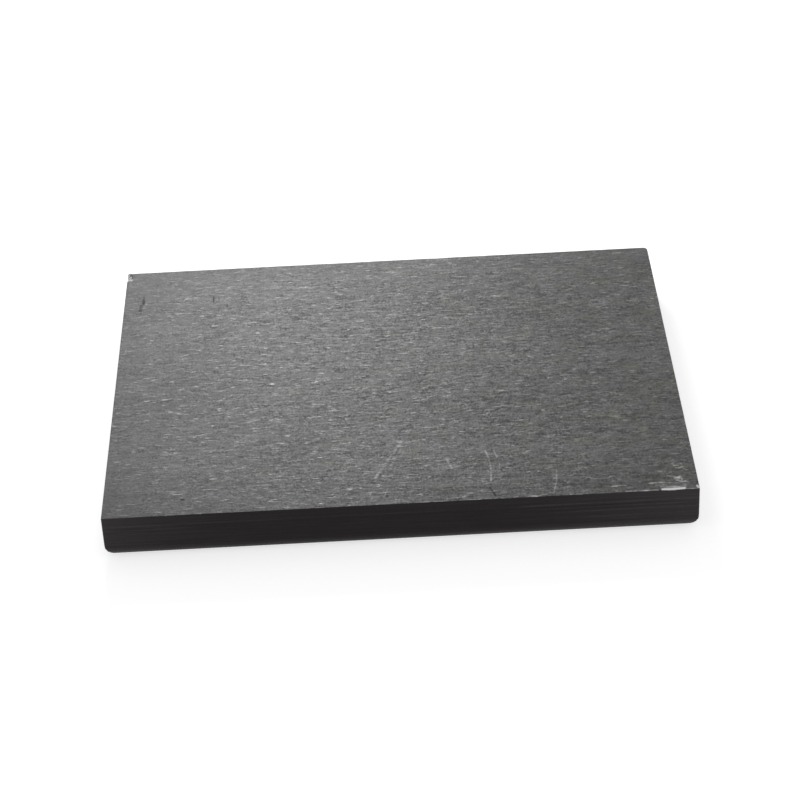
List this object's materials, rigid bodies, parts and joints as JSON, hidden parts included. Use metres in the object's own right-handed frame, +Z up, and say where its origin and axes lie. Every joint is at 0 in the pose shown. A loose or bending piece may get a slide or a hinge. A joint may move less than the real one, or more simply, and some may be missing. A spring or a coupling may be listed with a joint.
{
  "type": "carbon pump vane",
  "caption": "Flat rectangular carbon-graphite vane for a rotary vane pump, with ground faces, sharp upper edges and rounded lower edges.",
  "frame": {"origin": "middle of the lower broad face, on the surface that the vane lies on", "axes": "+Z up, through the thickness; +X along the length of the vane, which is along the rotor; +Y along its width, which is the way it slides in its slot, away from the long side with the witness step"},
  "size_m": [0.06, 0.047, 0.005],
  "materials": {
    "carbon_graphite": "satin"
  },
  "bodies": {
    "root": {"vane": "carbon_graphite"}
  },
  "joints": []
}
